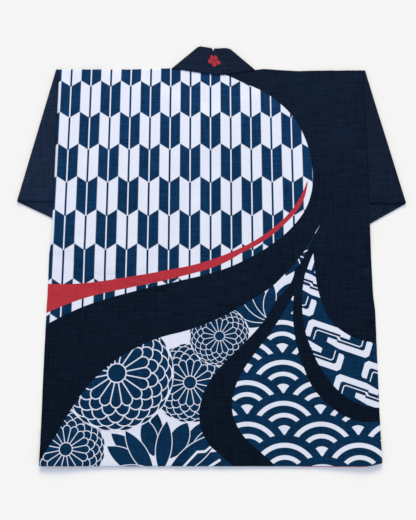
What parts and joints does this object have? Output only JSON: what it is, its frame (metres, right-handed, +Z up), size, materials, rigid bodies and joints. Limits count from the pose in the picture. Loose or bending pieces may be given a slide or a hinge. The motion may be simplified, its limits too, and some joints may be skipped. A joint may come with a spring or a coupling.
{
  "type": "happi coat",
  "caption": "Short cotton happi coat laid flat with its back up, its straight sleeves turned under the body and a band collar.",
  "frame": {"origin": "middle of the bounding box's underside, on the surface the coat lies on", "axes": "+Z up, out of the coat's back; +Y from the hem to the collar; +X to the right as the back is seen"},
  "size_m": [0.7934, 0.8705, 0.006],
  "materials": {
    "printed_cotton": "slubby plain-weave cotton with a blue, white and red resist print, matt",
    "body_cotton": "slubby plain-weave cotton, near-black navy, matt",
    "sleeve_cotton": "slubby plain-weave cotton, near-black navy, matt",
    "collar_cotton": "plain-weave cotton folded double, near-black navy, with a small red blossom"
  },
  "bodies": {
    "root": {"back_panel": "printed_cotton", "front_left": "body_cotton", "front_right": "body_cotton", "sleeve_left": "sleeve_cotton", "sleeve_right": "sleeve_cotton", "collar": "collar_cotton"}
  },
  "joints": []
}
